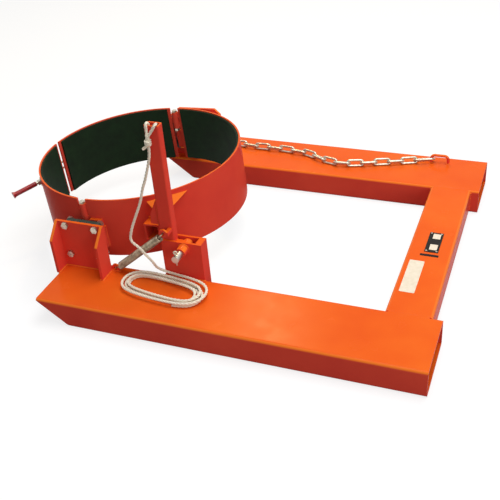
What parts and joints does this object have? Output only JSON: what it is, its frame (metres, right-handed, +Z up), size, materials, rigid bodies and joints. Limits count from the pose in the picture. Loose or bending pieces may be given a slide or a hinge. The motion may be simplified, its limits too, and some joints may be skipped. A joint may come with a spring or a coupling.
{
  "type": "drum tipper",
  "caption": "Fork-mounted drum tipper: a pocket frame carries a hinged, rubber-lined steel ring on trunnions, held by a sprung latch lever with a pull rope, toggle clamp and safety chain.",
  "frame": {"origin": "middle of the cross member's underside, on the floor", "axes": "+X to the fork heels, +Y to the right of an operator behind the heels who faces the drum, +Z up"},
  "size_m": [1.3469, 1.034, 0.529],
  "materials": {
    "orange_paint": "gloss orange paint",
    "bearing_paint": "dark green cast housing",
    "bright_steel": "bright turned steel",
    "zinc_plate": "zinc plated",
    "black_rubber": "matt sheet",
    "cotton_rope": "laid cotton",
    "red_vinyl": "dipped vinyl",
    "plate_enamel": "black enamel"
  },
  "bodies": {
    "base_frame": {"left_fork_pocket": "orange_paint", "right_fork_pocket": "orange_paint", "left_nose_plate": "orange_paint", "right_nose_plate": "orange_paint", "cross_member": "orange_paint", "left_trunnion_bracket": "orange_paint", "right_trunnion_bracket": "orange_paint", "left_bearing_housing": "bearing_paint", "right_bearing_housing": "bearing_paint", "left_bearing_insert": "bright_steel", "right_bearing_insert": "bright_steel", "bearing_bolts": "zinc_plate", "bearing_nuts": "zinc_plate", "latch_front_cheek": "orange_paint", "latch_back_cheek": "orange_paint", "latch_web": "orange_paint", "lever_pin_boss": "orange_paint", "lever_pivot_pin": "bright_steel", "lever_split_pin": "zinc_plate", "spring_foot_lug": "orange_paint", "latch_spring": "zinc_plate", "chain_staple": "orange_paint", "chain_ring_link": "zinc_plate", "safety_chain": "zinc_plate", "rating_plate": "plate_enamel", "rating_plate_rivets": "bright_steel", "rope_hank": "cotton_rope", "rope_drop": "cotton_rope"},
    "drum_ring": {"rear_ring_shell": "orange_paint", "rear_ring_liner": "black_rubber", "left_trunnion_pad": "orange_paint", "right_trunnion_pad": "orange_paint", "left_trunnion_shaft": "bright_steel", "right_trunnion_shaft": "bright_steel", "left_hinge_pin": "zinc_plate", "right_hinge_pin": "zinc_plate", "left_ring_knuckles": "orange_paint", "right_ring_knuckles": "orange_paint", "hinge_pin_nuts": "zinc_plate", "catch_stub": "orange_paint", "catch_gusset": "orange_paint", "far_stop_arm": "orange_paint"},
    "left_door": {"left_door_shell": "orange_paint", "left_door_liner": "black_rubber", "left_door_knuckle": "orange_paint", "clamp_base": "zinc_plate", "clamp_rivet": "zinc_plate"},
    "right_door": {"right_door_shell": "orange_paint", "right_door_liner": "black_rubber", "right_door_knuckle": "orange_paint", "clamp_keeper": "zinc_plate"},
    "clamp_handle": {"clamp_handle_arm": "zinc_plate", "clamp_handle_grip": "red_vinyl", "clamp_link_pin": "zinc_plate"},
    "clamp_hook": {"clamp_link": "zinc_plate"},
    "latch_lever": {"lever_tube": "orange_paint", "lever_hub": "orange_paint", "lever_hook": "orange_paint", "lever_spring_eye": "orange_paint", "rope_knot": "cotton_rope"}
  },
  "joints": [
    {"name": "ring_tip", "type": "hinge", "parent": "base_frame", "child": "drum_ring", "pos_m": [-0.89525, 0, 0.165], "axis": [0, -1, 0], "range_deg": [0, 120]},
    {"name": "left_door_swing", "type": "hinge", "parent": "drum_ring", "child": "left_door", "pos_m": [-0.90719, -0.29872, 0.22444], "axis": [-0.0541, 0, 0.9985], "range_deg": [0, 12]},
    {"name": "right_door_swing", "type": "hinge", "parent": "drum_ring", "child": "right_door", "pos_m": [-0.90719, 0.29872, 0.22444], "axis": [0.0541, 0, -0.9985], "range_deg": [0, 12]},
    {"name": "clamp_handle_turn", "type": "hinge", "parent": "left_door", "child": "clamp_handle", "pos_m": [-1.19184, -0.06904, 0.16596], "axis": [-0.0541, 0, 0.9985], "range_deg": [-30, 46]},
    {"name": "clamp_hook_turn", "type": "hinge", "parent": "clamp_handle", "child": "clamp_hook", "pos_m": [-1.20006, -0.08037, 0.16552], "axis": [-0.0541, 0, 0.9985], "range_deg": [-44, 29]},
    {"name": "lever_pull", "type": "hinge", "parent": "base_frame", "child": "latch_lever", "pos_m": [-0.603, -0.304, 0.172], "axis": [0, 1, 0], "range_deg": [0, 25], "stiffness_Nm_per_rad": 6, "deforming": ["latch_spring", "rope_drop"]}
  ],
  "couplings": [
    {"joint": "right_door_swing", "follows": "left_door_swing", "ratio": 1},
    {"joint": "clamp_hook_turn", "follows": "clamp_handle_turn", "ratio": -0.92}
  ]
}
